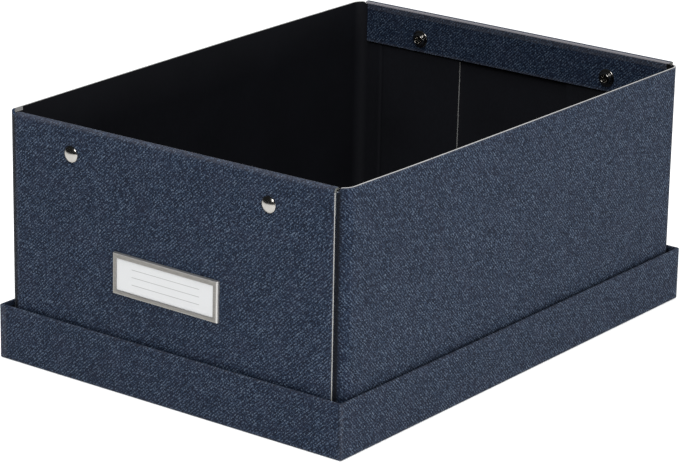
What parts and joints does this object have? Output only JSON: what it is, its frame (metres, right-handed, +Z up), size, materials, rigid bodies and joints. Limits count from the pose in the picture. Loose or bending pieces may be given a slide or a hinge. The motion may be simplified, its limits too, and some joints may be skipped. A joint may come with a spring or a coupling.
{
  "type": "storage box",
  "caption": "Rectangular flat-pack storage box of twill-look covered board, with snapped fold-over end rims, a metal label holder and a matching lid turned up under it.",
  "frame": {"origin": "centre of the underside of the upturned lid, on the surface the box stands on", "axes": "+Z up, +Y from the label end to the other end along the long sides, +X to the right seen from the label end"},
  "size_m": [0.2564, 0.3546, 0.1552],
  "materials": {
    "covered_board": "navy twill-look paper on board, matt",
    "black_lining": "smooth black paper, matt",
    "nickel": "bright nickel plate",
    "holder_metal": "satin",
    "card": "blank white card, matt"
  },
  "bodies": {
    "lid": {"lid_panel": "covered_board", "lid_front_wall": "covered_board", "lid_rear_wall": "covered_board", "lid_left_wall": "covered_board", "lid_right_wall": "covered_board", "lid_lining": "black_lining"},
    "box": {"bottom_panel": "covered_board", "bottom_lining": "black_lining", "left_side_wall": "covered_board", "right_side_wall": "covered_board", "left_front_flap": "covered_board", "right_front_flap": "covered_board", "left_rear_flap": "covered_board", "right_rear_flap": "covered_board", "front_end_panel": "covered_board", "rear_end_panel": "covered_board", "label_holder": "holder_metal", "front_left_snap_cap": "nickel", "front_left_snap_socket": "nickel", "front_right_snap_cap": "nickel", "front_right_snap_socket": "nickel", "rear_left_snap_cap": "nickel", "rear_left_snap_socket": "nickel", "rear_right_snap_cap": "nickel", "rear_right_snap_socket": "nickel"},
    "front_fold": {"front_strip": "covered_board", "front_left_snap_stud": "nickel", "front_left_snap_eyelet": "nickel", "front_right_snap_stud": "nickel", "front_right_snap_eyelet": "nickel"},
    "rear_fold": {"rear_strip": "covered_board", "rear_left_snap_stud": "nickel", "rear_left_snap_eyelet": "nickel", "rear_right_snap_stud": "nickel", "rear_right_snap_eyelet": "nickel"},
    "card": {"label_card": "card"}
  },
  "joints": [
    {"name": "box_lift_out", "type": "slide", "parent": "lid", "child": "box", "axis": [0, 0, 1], "range_m": [0, 0.08]},
    {"name": "front_strip_fold", "type": "hinge", "parent": "box", "child": "front_fold", "pos_m": [0, -0.17015, 0.15265], "axis": [1, 0, 0], "range_deg": [0, 120]},
    {"name": "rear_strip_fold", "type": "hinge", "parent": "box", "child": "rear_fold", "pos_m": [0, 0.17015, 0.15265], "axis": [-1, 0, 0], "range_deg": [0, 120]},
    {"name": "label_card_pull", "type": "slide", "parent": "box", "child": "card", "axis": [0, 0, 1], "range_m": [0, 0.03]}
  ]
}
